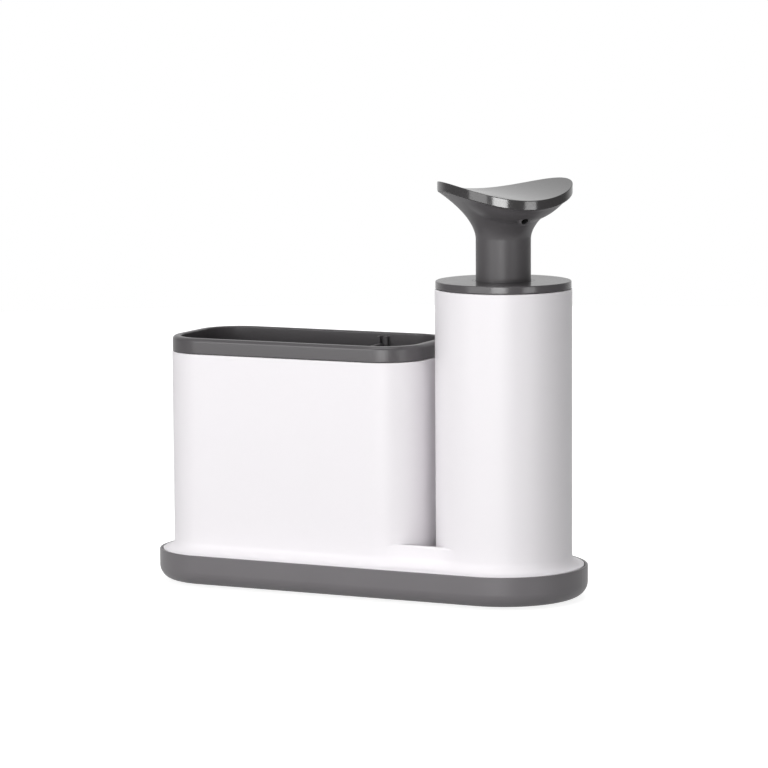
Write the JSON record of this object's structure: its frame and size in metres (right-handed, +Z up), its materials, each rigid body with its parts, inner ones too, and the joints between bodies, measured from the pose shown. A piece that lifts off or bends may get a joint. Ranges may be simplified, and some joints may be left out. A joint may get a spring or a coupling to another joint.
{
  "type": "soap dispenser caddy",
  "caption": "Bathroom caddy on a grey tray: a white holder with a grey divided liner beside a white pump bottle with a saddle-shaped press head.",
  "frame": {"origin": "under the middle of the tray, on the surface it stands on", "axes": "+X along the tray from the holder to the pump, +Y to the back, +Z up"},
  "size_m": [0.2178, 0.08, 0.1992],
  "materials": {
    "grey_plastic": "fine satin moulding",
    "dark_grey_plastic": "smooth moulding",
    "polished_plastic": "polished, nearly black under its reflections",
    "rim_plastic": "glossy moulding",
    "white_plastic": "semi-gloss moulding",
    "pump_plastic": "natural moulding",
    "tube_plastic": "extruded, slightly cloudy",
    "black_rubber": "matt",
    "spring_steel": "bright drawn"
  },
  "bodies": {
    "body": {"base_tray": "grey_plastic", "foot_front_left": "black_rubber", "foot_front_right": "black_rubber", "foot_back_left": "black_rubber", "foot_back_right": "black_rubber", "body_shell": "white_plastic"},
    "liner": {"holder_liner": "rim_plastic"},
    "divider": {"liner_divider": "rim_plastic"},
    "lid": {"bottle_lid": "dark_grey_plastic", "lid_seal": "black_rubber", "neck_guide": "dark_grey_plastic", "pump_housing": "pump_plastic", "housing_gasket": "black_rubber", "housing_nut": "pump_plastic", "dip_tube": "tube_plastic", "stem_guide": "pump_plastic", "return_spring": "spring_steel"},
    "ball": {"inlet_ball": "spring_steel"},
    "stem": {"pump_stem": "pump_plastic", "pump_piston": "black_rubber"},
    "head": {"head_body": "dark_grey_plastic", "head_cover": "polished_plastic", "delivery_elbow": "dark_grey_plastic"}
  },
  "joints": [
    {"name": "liner_lift", "type": "slide", "parent": "body", "child": "liner", "axis": [0, 0, 1], "range_m": [0, 0.105]},
    {"name": "divider_lift", "type": "slide", "parent": "liner", "child": "divider", "axis": [0, 0, 1], "range_m": [0, 0.108]},
    {"name": "lid_lift", "type": "slide", "parent": "body", "child": "lid", "axis": [0, 0, 1], "range_m": [0, 0.14]},
    {"name": "ball_lift", "type": "slide", "parent": "lid", "child": "ball", "axis": [0, 0, 1], "range_m": [0, 0.0015]},
    {"name": "pump_press", "type": "slide", "parent": "lid", "child": "stem", "axis": [0, 0, -1], "range_m": [0, 0.012], "stiffness_N_per_m": 700, "springref_m": -0.008, "deforming": ["return_spring"]},
    {"name": "head_turn", "type": "hinge", "parent": "stem", "child": "head", "pos_m": [0.06885, 0, 0.16], "axis": [0, 0, 1], "continuous": true}
  ]
}
